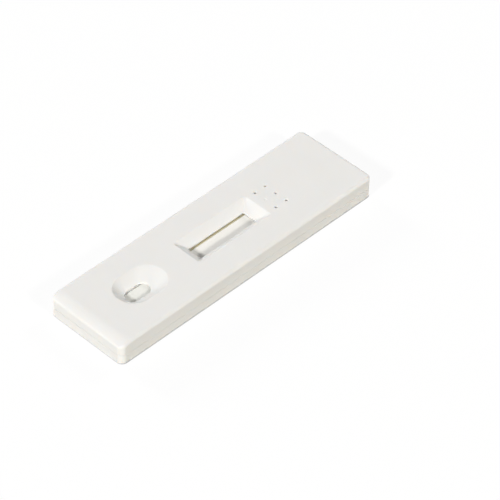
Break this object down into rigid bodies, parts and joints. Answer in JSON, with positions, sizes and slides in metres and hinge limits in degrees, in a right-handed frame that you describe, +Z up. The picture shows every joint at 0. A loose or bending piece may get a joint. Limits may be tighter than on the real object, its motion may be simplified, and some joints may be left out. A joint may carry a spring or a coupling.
{
  "type": "lateral flow cassette",
  "caption": "Flat white two-part plastic cassette with an oblong sample well, a sloped read window and small vents, holding a lateral flow test strip on ribs inside.",
  "frame": {"origin": "centre of the underside", "axes": "+X along the cassette from the sample well to the vents, +Y across it, +Z up"},
  "size_m": [0.07, 0.02, 0.0052],
  "materials": {
    "housing_plastic": "white moulded polystyrene, satin",
    "card_plastic": "white plastic card, smooth",
    "membrane": "cream nitrocellulose, matt",
    "conjugate_fibre": "dyed glass fibre, matt",
    "sample_fibre": "white cellulose fibre, matt",
    "absorbent_fibre": "white cotton fibre, matt"
  },
  "bodies": {
    "root": {"top_housing": "housing_plastic", "bottom_housing": "housing_plastic", "backing_card": "card_plastic", "membrane": "membrane", "conjugate_pad": "conjugate_fibre", "sample_pad": "sample_fibre", "absorbent_pad": "absorbent_fibre"}
  },
  "joints": []
}
